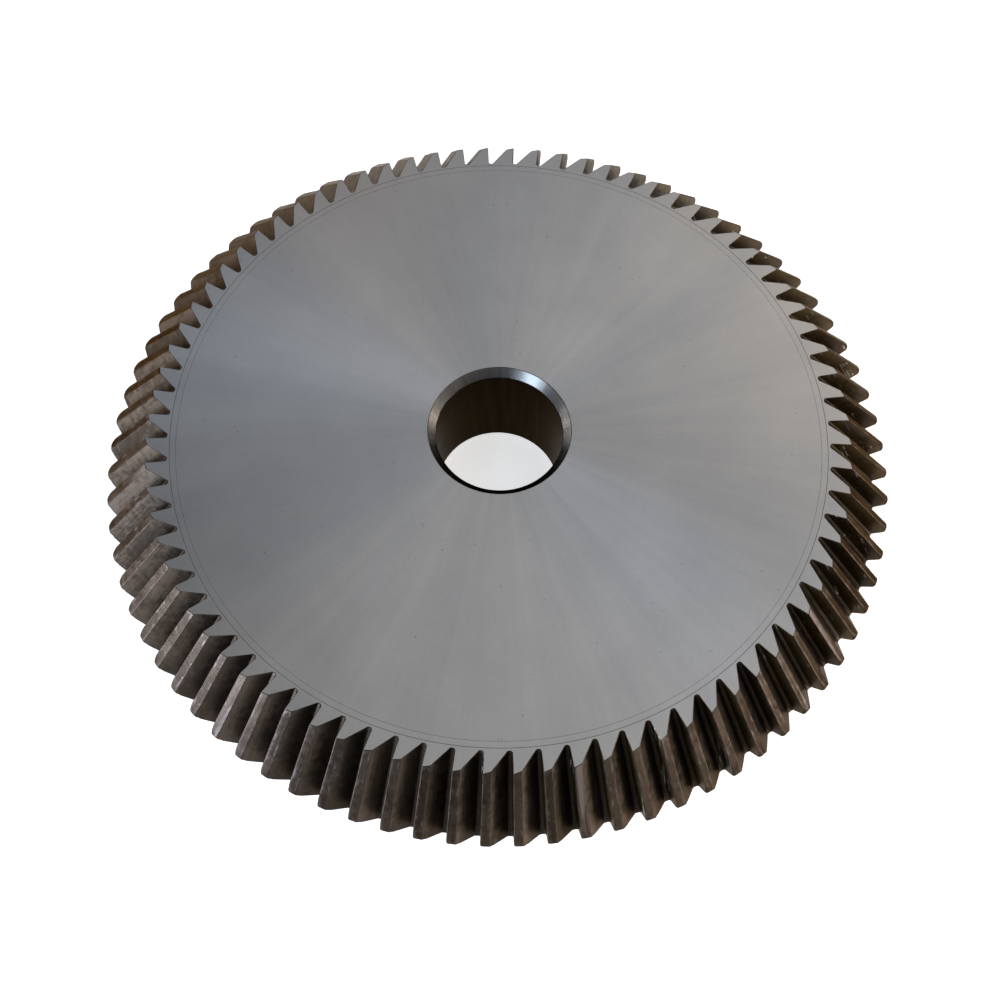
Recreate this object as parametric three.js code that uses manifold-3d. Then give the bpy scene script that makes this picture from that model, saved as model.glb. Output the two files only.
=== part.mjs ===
// Toothed gear wheel: a one-piece steel disc with straight saw-shaped teeth on a conical rim.
// Units are millimetres and +Z is up. The origin is on the bore axis, at the hub's back face,
// and +Z points to the smaller, front face.

import * as THREE from 'three';
import { mergeVertices } from 'three/addons/utils/BufferGeometryUtils.js';
import Module from 'manifold-3d';

const wasm = await Module();
wasm.setup();

// Driving dimensions
const TEETH = 80;
const TOTAL_HEIGHT = 20.6;
const FRONT_TIP_RADIUS = 55.1;
const HEEL_TIP_RADIUS = 63.4;
const RIM_DEPTH = 10.23;
const WEB_THICKNESS = 14.5;
const BORE_RADIUS = 10;
const FRONT_BORE_CHAMFER = 1.25;
const BACK_BORE_CHAMFER = 1;
const HUB_RADIUS = 23;
const HUB_CHAMFER = 0.8;
const HUB_FILLET = 1.5;

// One groove and one tooth on the front face. Angles are in degrees from the steep flank.
const GROOVE_RADIUS = 51.7;
const STEEP_FOOT_RADIUS = 51.95;
const SLOPE_CORNER_RADIUS = 54.72;
const FLOOR_START_ANGLE = 0.22;
const FLOOR_END_ANGLE = 0.72;
const SLOPE_CORNER_ANGLE = 3.25;
const FIRST_STEEP_FLANK_ANGLE = 0.84;

// Resolution and the length by which the toothed cone passes the blank that trims it
const LATHE_SEGMENTS = 120;
const FILLET_SEGMENTS = 4;
const OVERRUN = 1;

const PITCH_ANGLE = 360 / TEETH;
const HEEL_HEIGHT = TOTAL_HEIGHT - RIM_DEPTH;
const WEB_BACK_HEIGHT = TOTAL_HEIGHT - WEB_THICKNESS;

// The face cone and every tooth line run to one apex on the bore axis, above the front face.
const CONE_SLOPE = (HEEL_TIP_RADIUS - FRONT_TIP_RADIUS) / RIM_DEPTH;
const APEX_HEIGHT = TOTAL_HEIGHT + FRONT_TIP_RADIUS / CONE_SLOPE;

function closedSolid(geometry) {
  const bare = geometry.clone();
  bare.deleteAttribute('normal');
  bare.deleteAttribute('uv');
  const merged = mergeVertices(bare, 1e-4);
  return new wasm.Manifold(new wasm.Mesh({
    numProp: 3,
    vertProperties: new Float32Array(merged.attributes.position.array),
    triVerts: new Uint32Array(merged.index.array),
  }));
}

function solidGeometry(solid) {
  const mesh = solid.getMesh();
  const geometry = new THREE.BufferGeometry();
  geometry.setAttribute('position', new THREE.BufferAttribute(mesh.vertProperties, 3));
  geometry.setIndex(new THREE.BufferAttribute(mesh.triVerts, 1));
  return geometry;
}

// A point of the front outline, with its angle counted from -Y towards -X.
function outlinePoint(radius, degrees) {
  const angle = THREE.MathUtils.degToRad(degrees);
  return new THREE.Vector2(-radius * Math.sin(angle), -radius * Math.cos(angle));
}

// The outline of all the teeth in the plane of the front face.
function toothOutline() {
  const points = [];
  for (let tooth = 0; tooth < TEETH; tooth += 1) {
    const flank = FIRST_STEEP_FLANK_ANGLE + tooth * PITCH_ANGLE;
    points.push(
      outlinePoint(FRONT_TIP_RADIUS, flank),
      outlinePoint(STEEP_FOOT_RADIUS, flank),
      outlinePoint(GROOVE_RADIUS, flank + FLOOR_START_ANGLE),
      outlinePoint(GROOVE_RADIUS, flank + FLOOR_END_ANGLE),
      outlinePoint(SLOPE_CORNER_RADIUS, flank + SLOPE_CORNER_ANGLE),
    );
  }
  return new THREE.Shape(points);
}

// The toothed cone: the outline extruded along the axis and scaled towards the apex.
function toothedCone() {
  const depth = TOTAL_HEIGHT + 2 * OVERRUN;
  const geometry = new THREE.ExtrudeGeometry(toothOutline(), { depth, bevelEnabled: false });
  geometry.translate(0, 0, -OVERRUN);
  const position = geometry.attributes.position;
  for (let i = 0; i < position.count; i += 1) {
    const scale = (APEX_HEIGHT - position.getZ(i)) / (APEX_HEIGHT - TOTAL_HEIGHT);
    position.setXYZ(i, position.getX(i) * scale, position.getY(i) * scale, position.getZ(i));
  }
  return closedSolid(geometry);
}

// The turned blank: rim with its back cone square to the face cone, web, hub and bore.
function blankProfile() {
  const outerRadius = HEEL_TIP_RADIUS + OVERRUN;
  const outerHeight = HEEL_HEIGHT + OVERRUN * CONE_SLOPE;
  const webEdgeRadius = HEEL_TIP_RADIUS - (HEEL_HEIGHT - WEB_BACK_HEIGHT) / CONE_SLOPE;
  const filletTop = HUB_RADIUS + HUB_FILLET;
  const path = new THREE.Path();
  path.moveTo(BORE_RADIUS, BACK_BORE_CHAMFER);
  path.lineTo(BORE_RADIUS + BACK_BORE_CHAMFER, 0);
  path.lineTo(HUB_RADIUS - HUB_CHAMFER, 0);
  path.lineTo(HUB_RADIUS, HUB_CHAMFER);
  path.lineTo(HUB_RADIUS, WEB_BACK_HEIGHT - HUB_FILLET);
  path.absarc(filletTop, WEB_BACK_HEIGHT - HUB_FILLET, HUB_FILLET, Math.PI, Math.PI / 2, true);
  path.lineTo(webEdgeRadius, WEB_BACK_HEIGHT);
  path.lineTo(outerRadius, outerHeight);
  path.lineTo(outerRadius, TOTAL_HEIGHT);
  path.lineTo(BORE_RADIUS + FRONT_BORE_CHAMFER, TOTAL_HEIGHT);
  path.lineTo(BORE_RADIUS, TOTAL_HEIGHT - FRONT_BORE_CHAMFER);
  path.lineTo(BORE_RADIUS, BACK_BORE_CHAMFER);
  return path.getPoints(FILLET_SEGMENTS);
}

function turnedBlank() {
  const geometry = new THREE.LatheGeometry(blankProfile(), LATHE_SEGMENTS);
  geometry.rotateX(Math.PI / 2);
  return closedSolid(geometry);
}

function gearWheel() {
  const solid = turnedBlank().intersect(toothedCone());
  const steel = new THREE.MeshStandardMaterial({ color: 0x8b8d8f, roughness: 0.38, metalness: 1 });
  const mesh = new THREE.Mesh(solidGeometry(solid), steel);
  mesh.name = 'gear_wheel';
  return mesh;
}

const model = new THREE.Group();
model.add(gearWheel());

export default model;
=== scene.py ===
"""Looks for a one-piece steel gear wheel with saw-shaped teeth on a conical rim. Units are metres."""

import math

import bpy
import numpy as np
from mathutils import Matrix, Vector


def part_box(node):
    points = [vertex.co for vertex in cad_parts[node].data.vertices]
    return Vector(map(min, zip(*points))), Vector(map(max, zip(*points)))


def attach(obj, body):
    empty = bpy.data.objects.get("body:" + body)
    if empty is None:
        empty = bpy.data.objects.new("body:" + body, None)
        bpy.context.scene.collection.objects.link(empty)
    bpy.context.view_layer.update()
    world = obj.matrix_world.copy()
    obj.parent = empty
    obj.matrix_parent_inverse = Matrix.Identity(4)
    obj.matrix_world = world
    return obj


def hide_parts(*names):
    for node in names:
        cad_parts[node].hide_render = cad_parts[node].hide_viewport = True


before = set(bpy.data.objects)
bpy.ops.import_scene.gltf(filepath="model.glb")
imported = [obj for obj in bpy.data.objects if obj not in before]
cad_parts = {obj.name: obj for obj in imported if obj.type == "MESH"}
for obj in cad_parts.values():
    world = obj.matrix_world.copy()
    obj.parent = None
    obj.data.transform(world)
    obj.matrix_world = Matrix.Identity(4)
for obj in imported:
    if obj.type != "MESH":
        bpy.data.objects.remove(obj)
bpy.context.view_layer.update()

MM = 0.001

# ---------------------------------------------------------------- driving dimensions
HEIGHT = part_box("gear_wheel")[1].z
HEEL_TIP_RADIUS = 63.4 * MM
FRONT_TIP_RADIUS = 55.1 * MM
RIM_DEPTH = 10.23 * MM
WEB_THICKNESS = 14.5 * MM
TEETH = 80
PITCH = 360 / TEETH
FIRST_STEEP_FLANK = 0.84
BORE_RADIUS = 10 * MM
FRONT_BORE_CHAMFER = 1.25 * MM
BACK_BORE_CHAMFER = 1 * MM
HUB_RADIUS = 23 * MM
HUB_CHAMFER = 0.8 * MM
HUB_FILLET = 1.5 * MM

# One pitch of the front outline: degrees from the steep flank, radius, corner radius
STEEP_CORNER = (0, 55.1 * MM, 0.13 * MM)
STEEP_FOOT = (0, 51.95 * MM, 0.12 * MM)
FLOOR_START = (0.22, 51.7 * MM, 0.12 * MM)
FLOOR_END = (0.72, 51.7 * MM, 0.25 * MM)
SLOPE_CORNER = (3.25, 54.72 * MM, 0.26 * MM)
FRONT_INNER_RADIUS = 51.5 * MM
BACK_INNER_RADIUS = 60.6 * MM
FLOOR_TOLERANCE = 0.06 * MM

# Edges and fine surface detail
BORE_EDGE_BREAK = 0.05 * MM
WEB_EDGE_BREAK = 0.2 * MM
TOE_BREAK = 0.07 * MM
HEEL_BREAK = 0.14 * MM
HEEL_ROUNDING = 1.0 * MM
HEEL_CORNER_RADIUS = 0.78 * MM
HEEL_CORNER_REACH = 2.4 * MM
WITNESS_RADII = (51.3 * MM, 50.3 * MM)
WITNESS_WIDTHS = (0.14 * MM, 0.08 * MM)
WITNESS_DEPTHS = (0.004 * MM, 0.003 * MM)
NICKS_PER_EDGE = 0.9
NICK_DEPTH = 0.11 * MM
NICK_PLACES = (0.02, 0.92)
NICK_LENGTHS = (0.012, 0.045)
NICK_SIZES = (0.2, 1.0)
# Edge wear values, which also paint a highlight line along the tooth edges
TOOTH_EDGE_WEAR_AND_HIGHLIGHT = 0.8
HEEL_EDGE_WEAR_AND_HIGHLIGHT = 0.3
LEAST_MITRE = 0.6

# Resolution
STRAIGHT_STATIONS = 20
ROUNDED_STATIONS = 8
RING_STEPS_PER_TOOTH = 4
CORNER_STEPS = 5
FILLET_STEPS = 6
FRONT_RINGS = np.arange(14, 50, 4) * MM
BACK_RINGS = np.arange(54, 25, -5) * MM
HUB_RINGS = (18 * MM, 14 * MM)
BORE_RING_HEIGHTS = (6 * MM, 12 * MM)

CONE_SLOPE = (HEEL_TIP_RADIUS - FRONT_TIP_RADIUS) / RIM_DEPTH
APEX_HEIGHT = HEIGHT + FRONT_TIP_RADIUS / CONE_SLOPE
HEEL_HEIGHT = HEIGHT - RIM_DEPTH
WEB_BACK_HEIGHT = HEIGHT - WEB_THICKNESS
RING_STEPS = TEETH * RING_STEPS_PER_TOOTH
TOOTH_LENGTH = math.hypot(RIM_DEPTH, HEEL_TIP_RADIUS - FRONT_TIP_RADIUS)

# Camera and stage
VIEW_TILT = math.radians(25.837)
VIEW_ROLL = math.radians(1.801)
VIEW_DISTANCE = 234.92 * MM
AIM_RIGHT = -0.07 * MM
AIM_BELOW = 11.06 * MM
SENSOR_WIDTH = 36
LENS = 54.13
LIGHT_DISTANCE = 1.0
# A strip light's elevation in degrees, its width and its height
STRIP = (3.5, 0.35, 0.1)
FLOOR_HALF_WIDTH = 3.0
FLOOR_GLOW = 0.60

random = np.random.default_rng(7)

FACE, FLANK, STEEP, LAND, EDGE, CHAMFER, BORE, BACK = range(8)


# ---------------------------------------------------------------- mesh building
class Shell:
    """Collects vertices and faces of the closed wheel, with a surface kind for each face."""

    def __init__(self):
        self.points = []
        self.faces = []
        self.kinds = []
        self.smooth = []
        self.tooth = []
        self.wear = []
        self.depth = []
        self.sharp = []

    def add(self, point, wear=0.0, depth=0.0):
        self.points.append(tuple(point))
        self.wear.append(wear)
        self.depth.append(depth)
        return len(self.points) - 1

    def face(self, corners, kind, smooth=True, tooth=-1):
        self.faces.append(tuple(corners))
        self.kinds.append(kind)
        self.smooth.append(smooth)
        self.tooth.append(tooth)

    def strip(self, first, second, kind):
        """Quads between two closed rings that follow each other along the section."""
        count = len(first)
        for i in range(count):
            j = (i + 1) % count
            self.face((first[i], first[j], second[j], second[i]), kind)

    def crease(self, ring):
        count = len(ring)
        for i in range(count):
            self.sharp.append((ring[i], ring[(i + 1) % count]))


def plan(radius, degrees):
    """A point of the wheel's plan, with its angle counted from -Y towards -X."""
    angle = math.radians(degrees)
    return np.array((-radius * math.sin(angle), -radius * math.cos(angle)))


def rounded_corner(before, corner, after, radius):
    """The points of an arc that rounds one corner of an outline."""
    inward = (before - corner) / np.linalg.norm(before - corner)
    onward = (after - corner) / np.linalg.norm(after - corner)
    half = 0.5 * math.acos(np.clip(inward @ onward, -1, 1))
    reach = radius / math.tan(half)
    centre = corner + (inward + onward) / np.linalg.norm(inward + onward) * radius / math.sin(half)
    start = corner + inward * reach - centre
    end = corner + onward * reach - centre
    turn = math.atan2(start[0] * end[1] - start[1] * end[0], start @ end)
    points = []
    for step in range(CORNER_STEPS + 1):
        angle = turn * step / CORNER_STEPS
        c, s = math.cos(angle), math.sin(angle)
        points.append(centre + np.array((c * start[0] - s * start[1], s * start[0] + c * start[1])))
    return points


# The corners of one pitch, each with the surface that follows it, the parts that surface is cut
# into, and the corner's wear
PITCH_CORNERS = (
    (STEEP_CORNER, STEEP, 2, 1.0),
    (STEEP_FOOT, STEEP, 1, 0.0),
    (FLOOR_START, FLANK, 1, 0.0),
    (FLOOR_END, FLANK, 4, 0.0),
    (SLOPE_CORNER, LAND, 2, 1.0),
)


def pitch_outline(least_radius=0.0):
    """One pitch of the front outline with rounded corners: points, kind of surface after each, wear.

    The tooth's two outer corners get at least the given radius.
    """
    corners = [plan(c[0][1], c[0][0]) for c in PITCH_CORNERS]
    previous = plan(SLOPE_CORNER[1], SLOPE_CORNER[0] - PITCH)
    following = plan(STEEP_CORNER[1], STEEP_CORNER[0] + PITCH)
    chain = [previous] + corners + [following]
    arcs = []
    for i, (corner, _, _, wear) in enumerate(PITCH_CORNERS):
        radius = max(corner[2], least_radius) if wear else corner[2]
        arcs.append(rounded_corner(chain[i], chain[i + 1], chain[i + 2], radius))
    turn = math.radians(-PITCH)
    rotation = np.array(((math.cos(turn), -math.sin(turn)), (math.sin(turn), math.cos(turn))))
    arcs.append([rotation @ arcs[0][0]])
    points, kinds, wears = [], [], []
    for i, (_, kind, parts, wear) in enumerate(PITCH_CORNERS):
        for point in arcs[i]:
            points.append(point)
            wears.append(wear)
            kinds.append(kind if wear == 0 else EDGE)
        kinds[-1] = kind
        start, end = arcs[i][-1], arcs[i + 1][0]
        for part in range(1, parts):
            points.append(start + (end - start) * part / parts)
            wears.append(0.0)
            kinds.append(kind)
    return np.array(points), kinds, wears


def full_outline(least_radius=0.0):
    """The whole front outline: points in order of rising angle, kinds, wear and tooth numbers."""
    points, kinds, wears = pitch_outline(least_radius)
    outline, all_kinds, all_wears, numbers = [], [], [], []
    for tooth in range(TEETH):
        turn = math.radians(-(FIRST_STEEP_FLANK + tooth * PITCH))
        rotation = np.array(((math.cos(turn), -math.sin(turn)), (math.sin(turn), math.cos(turn))))
        outline.append(points @ rotation.T)
        all_kinds += kinds
        all_wears += wears
        numbers += [tooth] * len(points)
    return np.concatenate(outline), all_kinds, all_wears, numbers


def outward_normals(outline):
    """Outward unit normals in plan, with the mitre length that keeps an offset even at corners."""
    ahead = np.roll(outline, -1, axis=0) - outline
    behind = outline - np.roll(outline, 1, axis=0)
    ahead /= np.linalg.norm(ahead, axis=1)[:, None]
    behind /= np.linalg.norm(behind, axis=1)[:, None]
    normal_ahead = np.stack((-ahead[:, 1], ahead[:, 0]), 1)
    normal_behind = np.stack((-behind[:, 1], behind[:, 0]), 1)
    mean = normal_ahead + normal_behind
    mean /= np.linalg.norm(mean, axis=1)[:, None]
    mitre = np.sum(mean * normal_ahead, axis=1)
    return mean, 1 / np.clip(mitre, LEAST_MITRE, 1)


def heel_scale(point):
    """How far along its line from the apex an outline point meets the back cone."""
    radius = np.linalg.norm(point)
    drop = APEX_HEIGHT - HEIGHT
    # radius * s = HEEL_TIP_RADIUS + (APEX_HEIGHT - drop * s - HEEL_HEIGHT) / CONE_SLOPE
    return (HEEL_TIP_RADIUS + (APEX_HEIGHT - HEEL_HEIGHT) / CONE_SLOPE) / (radius + drop / CONE_SLOPE)


def along(point, scale):
    """The point of an outline point's line at a scale: 1 is the front face."""
    return np.array((point[0] * scale, point[1] * scale, APEX_HEIGHT - (APEX_HEIGHT - HEIGHT) * scale))


# ---------------------------------------------------------------- the toothed rim
def station_shares():
    """Where the rings lie along a tooth: 0 at the front, 1 at the heel, and close together near it."""
    straight_end = 1 - HEEL_ROUNDING / TOOTH_LENGTH
    straight = np.linspace(0, straight_end, STRAIGHT_STATIONS)
    turn = np.linspace(0, math.pi / 2, ROUNDED_STATIONS + 1)[1:]
    return np.concatenate((straight, straight_end + (1 - straight_end) * np.sin(turn)))


def rounding_drop(share):
    """How far the heel's rounding lowers the tip at a share of the tooth's length."""
    distance = (1 - share) * TOOTH_LENGTH
    if distance >= HEEL_ROUNDING:
        return 0.0
    return HEEL_ROUNDING - math.sqrt(HEEL_ROUNDING**2 - (HEEL_ROUNDING - distance) ** 2)


def nick_depths(wears, shares):
    """Depth of seeded small nicks in the tooth edges, for each outline point and station."""
    depths = np.zeros((len(wears), len(shares)))
    per_tooth = len(wears) // TEETH
    edge_points = [i for i in range(per_tooth) if wears[i] > 0]
    split = len(edge_points) // 2
    edges = (edge_points[:split], edge_points[split:])
    for tooth in range(TEETH):
        for edge in edges:
            for _ in range(random.poisson(NICKS_PER_EDGE)):
                centre = random.uniform(*NICK_PLACES)
                length = random.uniform(*NICK_LENGTHS)
                depth = random.uniform(*NICK_SIZES) ** 2 * NICK_DEPTH
                shape = np.exp(-(((shares - centre) / length) ** 2))
                for point in edge:
                    depths[tooth * per_tooth + point] += depth * shape
    return np.minimum(depths, NICK_DEPTH)


def clipped(points, drop):
    """The points with their radius held below the tip circle by a drop given at the heel's size."""
    limit = FRONT_TIP_RADIUS - drop * FRONT_TIP_RADIUS / HEEL_TIP_RADIUS
    radii = np.linalg.norm(points, axis=1)
    return points * np.minimum(1, limit / radii)[:, None]


def toothed_rim(shell):
    """Adds the tooth surfaces from the front face to the back cone.

    Returns the first ring, the last ring and the number of points for each tooth.
    """
    outline, kinds, wears, numbers = full_outline()
    heel_outline = full_outline(HEEL_CORNER_RADIUS)[0]
    normals, mitres = outward_normals(outline)
    front_drop = APEX_HEIGHT - HEIGHT
    toe_inset = outline - normals * (mitres * TOE_BREAK)[:, None]
    heel_break = HEEL_BREAK * FRONT_TIP_RADIUS / HEEL_TIP_RADIUS
    # Each outline point's share of the groove's depth: 0 at the tip and 1 at the floor
    groove = (FRONT_TIP_RADIUS - np.linalg.norm(outline, axis=1)) / (FRONT_TIP_RADIUS - FLOOR_START[1])
    first_scale = 1 + TOE_BREAK / front_drop
    count = len(outline)
    shares = station_shares()
    nicks = nick_depths(wears, shares)
    first_ring = []
    for point, depth in zip(toe_inset, groove):
        first_ring.append(shell.add(along(point, 1.0), TOOTH_EDGE_WEAR_AND_HIGHLIGHT, depth))
    rings = [first_ring]
    for station, share in enumerate(shares):
        distance = (1 - share) * TOOTH_LENGTH
        rounded = max(0.0, 1 - distance / HEEL_CORNER_REACH) ** 2
        section = outline * (1 - rounded) + heel_outline * rounded
        section = clipped(section, rounding_drop(share))
        section = section - normals * nicks[:, station][:, None]
        ring = []
        for i in range(count):
            last_scale = heel_scale(section[i]) - HEEL_BREAK / front_drop
            scale = first_scale + (last_scale - first_scale) * share
            wear = max(wears[i], 1.0 if station == 0 else 0.0)
            ring.append(shell.add(along(section[i], scale), wear, groove[i]))
        rings.append(ring)
    heel_inset = clipped(heel_outline, HEEL_ROUNDING) - normals * (mitres * heel_break)[:, None]
    last_ring = []
    for point, depth in zip(heel_inset, groove):
        last_ring.append(shell.add(along(point, heel_scale(point)), HEEL_EDGE_WEAR_AND_HIGHLIGHT, depth))
    rings.append(last_ring)
    for level in range(len(rings) - 1):
        upper, lower = rings[level], rings[level + 1]
        toe_end = level == 0
        heel_end = level == len(rings) - 2
        for i in range(count):
            j = (i + 1) % count
            kind = EDGE if toe_end and kinds[i] in (LAND, EDGE) else kinds[i]
            smooth = not (toe_end or heel_end)
            shell.face((upper[i], upper[j], lower[j], lower[i]), kind, smooth, numbers[i])
    return rings[0], rings[-1], count // TEETH


def floor_middle():
    """The number of the outline point nearest to the middle of a groove's floor, and its angle."""
    points = pitch_outline()[0]
    middle = 0.5 * (FLOOR_START[0] + FLOOR_END[0])
    angles = np.degrees(np.arctan2(-points[:, 0], -points[:, 1]))
    radii = np.linalg.norm(points, axis=1)
    near_floor = radii < FLOOR_END[1] + FLOOR_TOLERANCE
    best = min(np.flatnonzero(near_floor), key=lambda i: abs(angles[i] - middle))
    return int(best), float(angles[best])


def circle(shell, radius, height, start_angle):
    """A ring of points around the axis, in order of rising angle."""
    ring = []
    for step in range(RING_STEPS):
        x, y = plan(radius, start_angle + step * 360 / RING_STEPS)
        ring.append(shell.add((x, y, height)))
    return ring


def tooth_faces(shell, outline_ring, circle_ring, per_tooth, offset, kind, outline_first):
    """One flat face for each tooth between the outline and a plain circle."""
    count = len(outline_ring)
    steps = range(RING_STEPS_PER_TOOTH + 1)
    for tooth in range(TEETH):
        teeth = [outline_ring[(offset + tooth * per_tooth + i) % count] for i in range(per_tooth + 1)]
        arc = [circle_ring[(tooth * RING_STEPS_PER_TOOTH + i) % RING_STEPS] for i in steps]
        corners = teeth + arc[::-1] if outline_first else arc + teeth[::-1]
        shell.face(corners, kind, False)


# ---------------------------------------------------------------- the turned surfaces
def front_profile():
    """Radius, height, kind of the surface that follows and crease, from the bore to the teeth."""
    edge = BORE_EDGE_BREAK
    chamfer_radius = BORE_RADIUS + FRONT_BORE_CHAMFER
    chamfer_foot = HEIGHT - FRONT_BORE_CHAMFER
    rows = [
        (BORE_RADIUS, chamfer_foot - edge, EDGE, True),
        (BORE_RADIUS + edge, chamfer_foot + edge, CHAMFER, True),
        (chamfer_radius - edge, HEIGHT - edge, EDGE, True),
        (chamfer_radius + edge, HEIGHT, FACE, True),
    ]
    rows += [(radius, HEIGHT, FACE, False) for radius in FRONT_RINGS]
    for radius, width, depth in sorted(zip(WITNESS_RADII, WITNESS_WIDTHS, WITNESS_DEPTHS)):
        half = width / 2
        rows += [
            (radius - half, HEIGHT, EDGE, True),
            (radius, HEIGHT - depth, FACE, True),
            (radius + half, HEIGHT, FACE, True),
        ]
    rows.append((FRONT_INNER_RADIUS, HEIGHT, FACE, False))
    return rows


def back_profile():
    """The same for the back, from the teeth to the bore's lower end and up its wall."""
    web_radius = HEEL_TIP_RADIUS - (HEEL_HEIGHT - WEB_BACK_HEIGHT) / CONE_SLOPE
    edge = WEB_EDGE_BREAK
    inner_height = HEEL_HEIGHT - (HEEL_TIP_RADIUS - BACK_INNER_RADIUS) * CONE_SLOPE
    rows = [
        (BACK_INNER_RADIUS, inner_height, BACK, False),
        (web_radius + edge, WEB_BACK_HEIGHT + edge * CONE_SLOPE, CHAMFER, True),
        (web_radius - edge, WEB_BACK_HEIGHT, BACK, True),
    ]
    rows += [(radius, WEB_BACK_HEIGHT, BACK, False) for radius in BACK_RINGS]
    for step in range(FILLET_STEPS + 1):
        angle = math.radians(90 + 90 * step / FILLET_STEPS)
        radius = HUB_RADIUS + HUB_FILLET * (1 + math.cos(angle))
        height = WEB_BACK_HEIGHT - HUB_FILLET * (1 - math.sin(angle))
        rows.append((radius, height, BACK, False))
    rows += [
        (HUB_RADIUS, HUB_CHAMFER, CHAMFER, True),
        (HUB_RADIUS - HUB_CHAMFER, 0, BACK, True),
    ]
    rows += [(radius, 0, BACK, False) for radius in HUB_RINGS]
    rows += [
        (BORE_RADIUS + BACK_BORE_CHAMFER, 0, CHAMFER, True),
        (BORE_RADIUS, BACK_BORE_CHAMFER, BORE, True),
    ]
    rows += [(BORE_RADIUS, height, BORE, False) for height in BORE_RING_HEIGHTS]
    return rows


def turned_rings(shell, rows, start_angle):
    """Adds the rings of a profile with the strips between them. Returns the rings."""
    rings = []
    for i, (radius, height, kind, crease) in enumerate(rows):
        ring = circle(shell, radius, height, start_angle)
        if crease:
            shell.crease(ring)
        if rings:
            shell.strip(rings[-1], ring, rows[i - 1][2])
        rings.append(ring)
    return rings


def build_wheel(materials):
    """The whole wheel as one closed mesh."""
    shell = Shell()
    toe_ring, heel_ring, per_tooth = toothed_rim(shell)
    offset, middle_angle = floor_middle()
    start_angle = FIRST_STEEP_FLANK + middle_angle
    front = turned_rings(shell, front_profile(), start_angle)
    back = turned_rings(shell, back_profile(), start_angle)
    tooth_faces(shell, toe_ring, front[-1], per_tooth, offset, FACE, False)
    tooth_faces(shell, heel_ring, back[0], per_tooth, offset, BACK, True)
    shell.strip(back[-1], front[0], BORE)

    mesh = bpy.data.meshes.new("toothed_wheel")
    mesh.from_pydata(shell.points, [], shell.faces)
    mesh.polygons.foreach_set("material_index", shell.kinds)
    mesh.polygons.foreach_set("use_smooth", shell.smooth)
    tone = random.uniform(0, 1, TEETH + 1)
    tooth = mesh.attributes.new("tooth_tone", "FLOAT", "FACE")
    tooth.data.foreach_set("value", [tone[number] for number in shell.tooth])
    # The edge wear attribute also carries the painted highlight along the tooth edges.
    wear = mesh.attributes.new("edge_wear_and_highlight", "FLOAT", "POINT")
    wear.data.foreach_set("value", shell.wear)
    depth = mesh.attributes.new("groove_depth", "FLOAT", "POINT")
    depth.data.foreach_set("value", shell.depth)
    sharp = {tuple(sorted(pair)) for pair in shell.sharp}
    for edge in mesh.edges:
        if tuple(sorted(edge.vertices)) in sharp:
            edge.use_edge_sharp = True
    for material in materials:
        mesh.materials.append(material)
    mesh.validate()
    wheel = bpy.data.objects.new("toothed_wheel", mesh)
    bpy.context.scene.collection.objects.link(wheel)
    return wheel


# ---------------------------------------------------------------- materials
# What the brown oil film leaves of a metal's bright edge-on reflection
FILM_EDGE_TINT = (0.49, 0.42, 0.35)
BORE_EDGE_TINT = (0.58, 0.54, 0.50)
# Small spots of colour: bare flecks on the steep flanks that are partly painted glints, and dark pits in
# the turned faces
FLECK_AND_GLINT = (0.34, 0.31, 0.28)
PIT = (0.09, 0.085, 0.085)
# The metals' specular level, and the share of a film's dark colour that is left under grime and painted
# shade deep in the groove
SPECULAR_LEVEL = 0.2
GRIME_AND_SHADE_SHARE = 0.35


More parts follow.
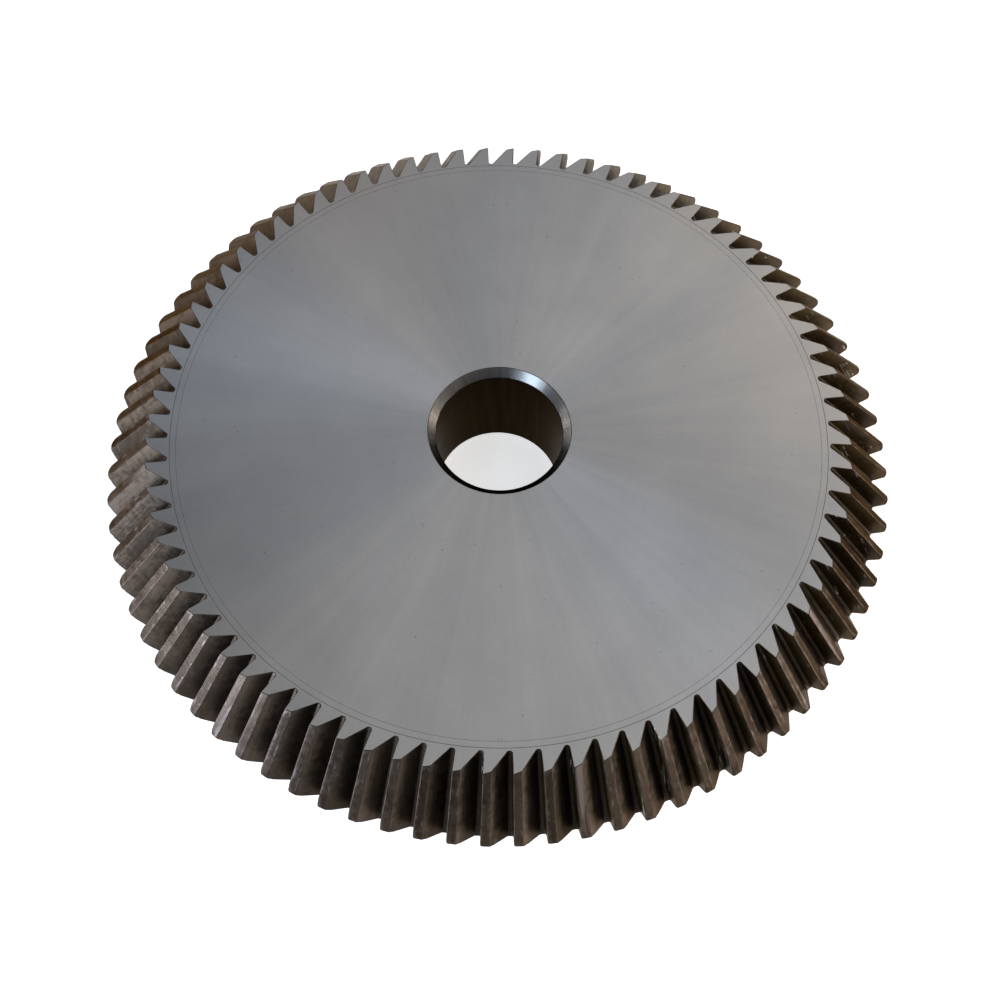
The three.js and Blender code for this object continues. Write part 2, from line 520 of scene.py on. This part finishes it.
class Look:
    """A Principled steel surface with short calls for the nodes that feed it."""

    def __init__(self, name, roughness, anisotropy=0.0, edge_tint=(1.0, 1.0, 1.0), metallic=1.0):
        self.material = bpy.data.materials.new(name)
        self.material.use_nodes = True
        self.tree = self.material.node_tree
        self.shader = self.tree.nodes["Principled BSDF"]
        self.shader.inputs["Metallic"].default_value = metallic
        self.shader.inputs["Specular IOR Level"].default_value = SPECULAR_LEVEL
        self.shader.inputs["Specular Tint"].default_value = (*edge_tint, 1.0)
        self.shader.inputs["Roughness"].default_value = roughness
        self.shader.inputs["Anisotropic"].default_value = anisotropy
        self.place = self.node("ShaderNodeTexCoord").outputs["Object"]

    def node(self, kind, **settings):
        made = self.tree.nodes.new(kind)
        for name, value in settings.items():
            setattr(made, name, value)
        return made

    def link(self, source, target):
        self.tree.links.new(source, target)

    def math(self, operation, first, second=0.0):
        made = self.node("ShaderNodeMath", operation=operation)
        for socket, value in zip(made.inputs, (first, second)):
            if isinstance(value, (int, float)):
                socket.default_value = value
            else:
                self.link(value, socket)
        return made.outputs[0]

    def mapped(self, value, low, high, new_low, new_high):
        made = self.node("ShaderNodeMapRange")
        made.inputs["From Min"].default_value = low
        made.inputs["From Max"].default_value = high
        made.inputs["To Min"].default_value = new_low
        made.inputs["To Max"].default_value = new_high
        self.link(value, made.inputs["Value"])
        return made.outputs["Result"]

    def noise(self, vector, scale, detail=2.0, roughness=0.5):
        made = self.node("ShaderNodeTexNoise")
        made.inputs["Scale"].default_value = scale
        made.inputs["Detail"].default_value = detail
        made.inputs["Roughness"].default_value = roughness
        self.link(vector, made.inputs["Vector"])
        return made.outputs["Fac"]

    def cells(self, vector, scale):
        made = self.node("ShaderNodeTexVoronoi")
        made.inputs["Scale"].default_value = scale
        self.link(vector, made.inputs["Vector"])
        return made.outputs["Distance"]

    def attribute(self, name):
        made = self.node("ShaderNodeAttribute", attribute_name=name)
        return made.outputs["Fac"]

    def combined(self, x, y, z):
        made = self.node("ShaderNodeCombineXYZ")
        for socket, value in zip(made.inputs, (x, y, z)):
            if isinstance(value, (int, float)):
                socket.default_value = value
            else:
                self.link(value, socket)
        return made.outputs[0]

    def polar(self, around, outward, upward=0.0):
        """A seamless polar vector, with its own scale around the axis, outwards and along the axis."""
        apart = self.node("ShaderNodeSeparateXYZ")
        self.link(self.place, apart.inputs[0])
        x, y, z = apart.outputs
        squares = self.math("ADD", self.math("MULTIPLY", x, x), self.math("MULTIPLY", y, y))
        radius = self.math("SQRT", squares)
        east = self.math("MULTIPLY", self.math("DIVIDE", x, radius), around)
        north = self.math("MULTIPLY", self.math("DIVIDE", y, radius), around)
        out = self.math("MULTIPLY", radius, outward)
        depth = self.math("ADD", out, self.math("MULTIPLY", z, upward))
        return self.combined(east, north, depth)

    def blend(self, factor, first, second):
        """A colour between two colours."""
        made = self.node("ShaderNodeMix", data_type="RGBA")
        self.link(factor, made.inputs["Factor"])
        for socket, value in zip((made.inputs["A"], made.inputs["B"]), (first, second)):
            if isinstance(value, tuple):
                socket.default_value = (*value, 1.0)
            else:
                self.link(value, socket)
        return made.outputs["Result"]

    def bump(self, height, distance, under=None):
        made = self.node("ShaderNodeBump")
        made.inputs["Strength"].default_value = 1.0
        made.inputs["Distance"].default_value = distance
        self.link(height, made.inputs["Height"])
        if under is not None:
            self.link(under, made.inputs["Normal"])
        return made.outputs["Normal"]

    def finish(self, colour, roughness, normal=None):
        self.link(colour, self.shader.inputs["Base Color"])
        self.link(roughness, self.shader.inputs["Roughness"])
        if normal is not None:
            self.link(normal, self.shader.inputs["Normal"])
        return self.material

    def radial_tangent(self):
        made = self.node("ShaderNodeTangent", direction_type="RADIAL", axis="Z")
        self.link(made.outputs[0], self.shader.inputs["Tangent"])


def turned_steel(name, light, dark, roughness, anisotropy):
    """Lathe-turned steel: concentric tool lines, a faint radial fan of tone that is partly a painted
    sheen, small stains and pits.
    """
    look = Look(name, roughness, anisotropy)
    look.radial_tangent()
    # Painted sheen: radial streaks of lighter and darker colour that copy the fan-shaped highlight of a
    # turned face; the same noise also varies the roughness.
    fan_and_sheen = look.noise(look.polar(9, 12), 1.0, 5.0, 0.62)
    lines = look.noise(look.polar(0.6, 5200, 5200), 1.0, 3.0, 0.6)
    stains = look.noise(look.place, 75, 4.0, 0.55)
    grain = look.noise(look.place, 1500, 2.0, 0.6)
    tone = look.math("ADD", look.math("MULTIPLY", fan_and_sheen, 0.45), look.math("MULTIPLY", stains, 0.40))
    tone = look.math("ADD", tone, look.math("MULTIPLY", grain, 0.15))
    colour = look.blend(look.mapped(tone, 0.35, 0.65, 0.0, 1.0), dark, light)
    pits = look.mapped(look.cells(look.place, 620), 0.06, 0.16, 1.0, 0.0)
    pit_place = look.mapped(look.noise(look.place, 330, 1.0), 0.60, 0.66, 0.0, 1.0)
    pit = look.math("MULTIPLY", pits, pit_place)
    colour = look.blend(look.math("MULTIPLY", pit, 0.35), colour, PIT)
    uneven = look.math("ADD", fan_and_sheen, look.math("MULTIPLY", lines, 0.5))
    rough = look.mapped(uneven, 0.4, 1.1, roughness - 0.05, roughness + 0.06)
    normal = look.bump(lines, 0.0022 * MM)
    normal = look.bump(stains, 0.01 * MM, under=normal)
    return look.finish(colour, rough, normal)


def milled_steel(name, light, dark, roughness, worn_and_highlight, metallic, anisotropy=0.0, flecked_and_glinting=False):
    """Oil-brown tooth surface: mottled, marked by the cutter, darker in the groove from grime and
    painted shade, barer where wear rubs the film off, with a painted highlight along the edges.
    """
    look = Look(name, roughness, anisotropy, FILM_EDGE_TINT, metallic)
    if anisotropy:
        look.radial_tangent()
    mottle = look.noise(look.place, 900, 4.0, 0.62)
    streaks = look.noise(look.polar(260, 0, 160), 1.0, 3.0, 0.6)
    marks = look.noise(look.polar(2.5, 1500, 900), 1.0, 3.0, 0.6)
    film = look.noise(look.place, 160, 3.0, 0.5)
    tooth = look.attribute("tooth_tone")
    tone = look.math("ADD", look.math("MULTIPLY", mottle, 0.40), look.math("MULTIPLY", film, 0.35))
    tone = look.math("ADD", tone, look.math("MULTIPLY", streaks, 0.25))
    tone = look.math("ADD", tone, look.math("MULTIPLY", look.math("SUBTRACT", tooth, 0.5), 0.16))
    colour = look.blend(look.mapped(tone, 0.42, 0.58, 0.0, 1.0), dark, light)
    # Painted shade: the colour darkens towards the groove's floor, partly as grime and partly as the
    # shade that falls deep in the groove.
    grime_and_shade = look.mapped(look.attribute("groove_depth"), 0.25, 1.0, 0.0, 0.70)
    colour = look.blend(grime_and_shade, colour, tuple(GRIME_AND_SHADE_SHARE * channel for channel in dark))
    # Painted highlight: a brighter worn colour along the tooth edges, partly rubbed-off film and partly
    # a painted highlight line.
    edge = look.mapped(look.attribute("edge_wear_and_highlight"), 0.30, 1.0, 0.0, 1.0)
    rub_and_highlight_patches = look.mapped(look.noise(look.place, 420, 3.0, 0.65), 0.52, 0.68, 0.0, 0.8)
    colour = look.blend(look.math("MULTIPLY", edge, rub_and_highlight_patches), colour, worn_and_highlight)
    # Painted glints: small bright spots on the steep flanks, partly bare flecks and partly painted
    # glints.
    if flecked_and_glinting:
        fleck_and_glint_size = look.mapped(look.cells(look.polar(90, 1500, 700), 1.0), 0.12, 0.36, 1.0, 0.0)
        fleck_and_glint_place = look.mapped(look.noise(look.place, 300, 2.0, 0.5), 0.57, 0.62, 0.0, 1.0)
        colour = look.blend(look.math("MULTIPLY", fleck_and_glint_size, fleck_and_glint_place), colour, FLECK_AND_GLINT)
    rubbed_tooth = look.mapped(tooth, 0.86, 0.90, 0.0, 0.75)
    patches = look.mapped(look.noise(look.polar(30, 260, 260), 1.0, 3.0, 0.6), 0.52, 0.62, 0.0, 1.0)
    colour = look.blend(look.math("MULTIPLY", rubbed_tooth, patches), colour, worn_and_highlight)
    rough = look.mapped(mottle, 0.3, 0.7, roughness - 0.08, roughness + 0.1)
    normal = look.bump(marks, 0.006 * MM)
    normal = look.bump(streaks, 0.02 * MM, under=normal)
    normal = look.bump(mottle, 0.02 * MM, under=normal)
    return look.finish(colour, rough, normal)


def edge_steel(name, light, dark, roughness):
    """Broken edges: uneven brown with barer flecks."""
    look = Look(name, roughness, edge_tint=FILM_EDGE_TINT)
    mottle = look.noise(look.place, 700, 4.0, 0.65)
    colour = look.blend(look.mapped(mottle, 0.35, 0.72, 0.0, 1.0), dark, light)
    rough = look.mapped(mottle, 0.3, 0.7, roughness - 0.08, roughness + 0.08)
    return look.finish(colour, rough, look.bump(mottle, 0.012 * MM))


def bored_steel(name, light, dark, roughness):
    """Bore wall: fine rings around the wall under a thin dark oil film with vertical runs; the
    near-black colour is partly painted shade inside the bore.
    """
    look = Look(name, roughness, 0.85, BORE_EDGE_TINT)
    look.radial_tangent()
    rings = look.noise(look.polar(0.5, 0, 6000), 1.0, 3.0, 0.6)
    runs = look.noise(look.polar(7, 0, 60), 1.0, 3.0, 0.6)
    colour = look.blend(look.mapped(runs, 0.36, 0.66, 0.0, 1.0), dark, light)
    rough = look.mapped(rings, 0.3, 0.7, roughness - 0.05, roughness + 0.08)
    return look.finish(colour, rough, look.bump(rings, 0.003 * MM))


def wheel_materials():
    """One material for each surface kind, in the order of the kinds."""
    # Worn colours, also used as the painted highlight along the tooth edges
    worn_land_and_highlight = (0.13, 0.11, 0.105)
    worn_flank_and_highlight = (0.075, 0.06, 0.05)
    slope_light, slope_dark = (0.078, 0.060, 0.047), (0.036, 0.028, 0.022)
    steep_light, steep_dark = (0.074, 0.050, 0.021), (0.026, 0.017, 0.007)
    land_light, land_dark = (0.045, 0.034, 0.027), (0.025, 0.019, 0.015)
    return (
        turned_steel("steel_turned_face", (0.40, 0.39, 0.385), (0.33, 0.325, 0.325), 0.36, 0.75),
        milled_steel("steel_milled_slope", slope_light, slope_dark, 0.38, worn_flank_and_highlight, 0.88),
        milled_steel("steel_milled_steep", steep_light, steep_dark, 0.40, worn_flank_and_highlight, 0.6, flecked_and_glinting=True),
        milled_steel("steel_tooth_land", land_light, land_dark, 0.36, worn_land_and_highlight, 1.0, 0.7),
        edge_steel("steel_broken_edge", (0.065, 0.052, 0.043), (0.030, 0.023, 0.018), 0.42),
        turned_steel("steel_chamfer", (0.225, 0.22, 0.215), (0.175, 0.17, 0.168), 0.22, 0.6),
        # Near-black bore colours: partly oil film, partly painted shade inside the bore
        bored_steel("steel_bore", (0.013, 0.0095, 0.007), (0.006, 0.0042, 0.003), 0.42),
        turned_steel("steel_turned_back", (0.36, 0.35, 0.345), (0.27, 0.265, 0.26), 0.42, 0.6),
    )


# ---------------------------------------------------------------- stage
def floor_plane():
    """A wide plain pale floor under the hub."""
    half = FLOOR_HALF_WIDTH
    mesh = bpy.data.meshes.new("floor")
    corners = [(-half, -half, 0), (half, -half, 0), (half, half, 0), (-half, half, 0)]
    mesh.from_pydata(corners, [], [(0, 1, 2, 3)])
    floor = bpy.data.objects.new("floor", mesh)
    bpy.context.scene.collection.objects.link(floor)
    paint = bpy.data.materials.new("floor_white")
    paint.use_nodes = True
    shader = paint.node_tree.nodes["Principled BSDF"]
    shader.inputs["Base Color"].default_value = (0.88, 0.88, 0.88, 1)
    shader.inputs["Roughness"].default_value = 0.9
    shader.inputs["Specular IOR Level"].default_value = 0.1
    shader.inputs["Emission Color"].default_value = (1, 1, 1, 1)
    shader.inputs["Emission Strength"].default_value = FLOOR_GLOW
    mesh.materials.append(paint)
    return floor


def soft_light(name, azimuth, elevation, width, height, brightness, colour):
    """A soft light one metre from the wheel's front face. Azimuth runs from -Y towards +X."""
    data = bpy.data.lights.new(name, "AREA")
    data.shape = "RECTANGLE"
    data.size = width
    data.size_y = height
    data.energy = brightness * math.pi**2 * width * height
    data.color = colour
    light = bpy.data.objects.new(name, data)
    a, e = math.radians(azimuth), math.radians(elevation)
    way = Vector((math.sin(a) * math.cos(e), -math.cos(a) * math.cos(e), math.sin(e)))
    light.location = Vector((0, 0, HEIGHT)) + way * LIGHT_DISTANCE
    light.rotation_euler = way.to_track_quat("Z", "Y").to_euler()
    light.visible_camera = False
    bpy.context.scene.collection.objects.link(light)


def studio():
    """A dim room, large soft lights above, a cool window and low strips of light around the teeth."""
    world = bpy.data.worlds.new("studio")
    world.use_nodes = True
    background = world.node_tree.nodes["Background"]
    background.inputs["Color"].default_value = (0.12, 0.12, 0.125, 1)
    background.inputs["Strength"].default_value = 1.0
    bpy.context.scene.world = world
    bpy.context.scene.view_settings.view_transform = "Standard"
    soft_light("overhead_back", 170, 62, 0.7, 0.7, 0.21, (0.90, 1.0, 1.12))
    soft_light("overhead_right", 120, 45, 0.6, 0.6, 0.46, (1.0, 0.88, 0.72))
    soft_light("back_warm", 168, 31, 0.3, 0.2, 0.95, (1.0, 0.78, 0.55))
    soft_light("high_front", 0, 58, 0.8, 0.8, 0.08, (1.0, 1.0, 1.0))
    soft_light("high_left", -80, 60, 0.6, 0.6, 0.22, (0.95, 1.0, 1.05))
    soft_light("high_right", 75, 62, 0.6, 0.6, 0.40, (1.0, 0.93, 0.80))
    soft_light("high_small", -60, 61, 0.12, 0.12, 3.0, (0.75, 1.0, 1.3))
    soft_light("window_left", -42, 26, 0.36, 0.42, 1.9, (0.80, 1.0, 1.22))
    soft_light("back_left", -130, 12, 0.45, 0.45, 0.34, (1.0, 0.88, 0.76))
    soft_light("back_right", 150, 12, 0.45, 0.45, 0.45, (1.0, 0.80, 0.58))
    soft_light("strip_left_front", -50, *STRIP, 27, (0.84, 1.0, 1.25))
    soft_light("strip_left", -75, *STRIP, 17, (0.94, 0.98, 1.08))
    soft_light("strip_left_back", -100, *STRIP, 2.8, (1.0, 0.94, 0.88))
    soft_light("strip_right_front", 50, *STRIP, 3.2, (1.0, 0.9, 0.8))
    soft_light("strip_right", 75, *STRIP, 28, (1.0, 0.92, 0.83))
    soft_light("strip_right_back", 100, *STRIP, 4.2, (1.0, 0.86, 0.7))


def camera():
    """The view from the near side, tilted from the wheel's axis and rolled a little."""
    tilt = Matrix.Rotation(VIEW_TILT, 3, "X")
    right = tilt @ Vector((1, 0, 0))
    up = tilt @ Vector((0, 1, 0))
    back = tilt @ Vector((0, 0, 1))
    c, s = math.cos(VIEW_ROLL), math.sin(VIEW_ROLL)
    right, up = c * right + s * up, c * up - s * right
    data = bpy.data.cameras.new("camera")
    data.sensor_width = SENSOR_WIDTH
    data.lens = LENS
    data.clip_start = 0.01
    eye = bpy.data.objects.new("camera", data)
    front_centre = Vector((0, 0, HEIGHT))
    eye.location = front_centre + back * VIEW_DISTANCE - right * AIM_RIGHT - up * AIM_BELOW
    eye.rotation_euler = Matrix((right, up, back)).transposed().to_euler()
    bpy.context.scene.collection.objects.link(eye)
    bpy.context.scene.camera = eye


camera()
studio()
floor_plane()
wheel = build_wheel(wheel_materials())
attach(wheel, "root")
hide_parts("gear_wheel")
